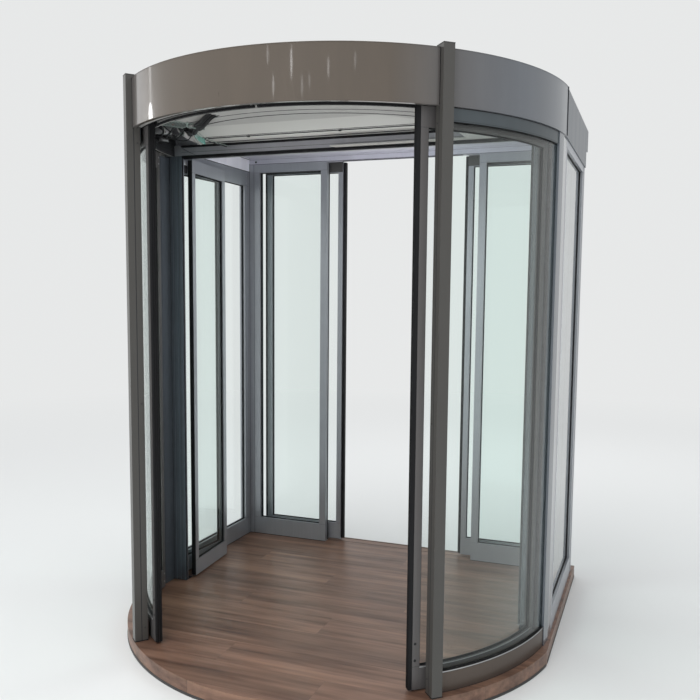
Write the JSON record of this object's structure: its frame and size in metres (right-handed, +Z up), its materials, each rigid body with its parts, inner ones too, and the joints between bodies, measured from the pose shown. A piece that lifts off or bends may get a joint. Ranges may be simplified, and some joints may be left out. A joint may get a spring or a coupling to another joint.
{
  "type": "curved sliding door entrance",
  "caption": "Half-round glazed entrance with curved sliding doors under a metal canopy band, folded portal doors, a square glass lobby and straight sliding doors at the rear.",
  "frame": {"origin": "on the floor under the vertical axis of the half-round drum", "axes": "+Z up, +X to the right seen from outside the curved front, the curved front faces -Y and the straight rear doors face +Y"},
  "size_m": [2.046, 1.992, 2.477],
  "materials": {
    "deck_wood": "wood-grain laminate boards",
    "post_metal": "satin warm grey",
    "fascia_metal": "semi-gloss warm grey",
    "header_metal": "satin",
    "ceiling_white": "matt off-white panel",
    "rail_metal": "satin anodised",
    "frame_metal": "satin cool grey",
    "clear_glass": "clear, faint green edge",
    "black_rubber": "matt"
  },
  "bodies": {
    "entrance": {"floor_deck": "deck_wood", "front_post_left": "post_metal", "front_post_right": "post_metal", "portal_post_left": "post_metal", "portal_post_right": "post_metal", "portal_beam": "post_metal", "side_header_left": "post_metal", "side_header_right": "post_metal", "rear_header": "post_metal", "fascia_front": "fascia_metal", "fascia_left": "fascia_metal", "fascia_right": "fascia_metal", "header_ring": "header_metal", "header_cover": "header_metal", "ceiling_panels": "ceiling_white", "curved_bottom_rail_left": "rail_metal", "curved_bottom_rail_right": "rail_metal", "curved_top_rail_left": "rail_metal", "curved_top_rail_right": "rail_metal", "side_frame_left": "frame_metal", "side_frame_right": "frame_metal", "corner_post_left": "frame_metal", "corner_post_right": "frame_metal", "rear_frame_left": "frame_metal", "rear_frame_right": "frame_metal", "folding_leaves_left": "frame_metal", "folding_leaves_right": "frame_metal", "curved_glass_left": "clear_glass", "curved_glass_right": "clear_glass", "side_glass_left": "clear_glass", "side_glass_right": "clear_glass", "rear_glass_left": "clear_glass", "rear_glass_right": "clear_glass", "folding_glass_left": "clear_glass", "folding_glass_right": "clear_glass"},
    "curved_leaf_left": {"curved_leaf_left": "frame_metal", "curved_leaf_glass_left": "clear_glass", "curved_leaf_nose_left": "black_rubber"},
    "curved_leaf_right": {"curved_leaf_right": "frame_metal", "curved_leaf_glass_right": "clear_glass", "curved_leaf_nose_right": "black_rubber"},
    "sliding_leaf_left": {"sliding_leaf_left": "frame_metal", "sliding_leaf_glass_left": "clear_glass"},
    "sliding_leaf_right": {"sliding_leaf_right": "frame_metal", "sliding_leaf_glass_right": "clear_glass"}
  },
  "joints": [
    {"name": "curved_left_turn", "type": "hinge", "parent": "entrance", "child": "curved_leaf_left", "pos_m": [0, 0, 1.2], "axis": [0, 0, 1], "range_deg": [0, 35.8]},
    {"name": "curved_right_turn", "type": "hinge", "parent": "entrance", "child": "curved_leaf_right", "pos_m": [0, 0, 1.2], "axis": [0, 0, 1], "range_deg": [-35.8, 0]},
    {"name": "rear_left_slide", "type": "slide", "parent": "entrance", "child": "sliding_leaf_left", "axis": [1, 0, 0], "range_m": [0, 0.358]},
    {"name": "rear_right_slide", "type": "slide", "parent": "entrance", "child": "sliding_leaf_right", "axis": [1, 0, 0], "range_m": [-0.358, 0]}
  ],
  "couplings": [
    {"joint": "curved_right_turn", "follows": "curved_left_turn", "ratio": -1},
    {"joint": "rear_right_slide", "follows": "rear_left_slide", "ratio": -1}
  ]
}
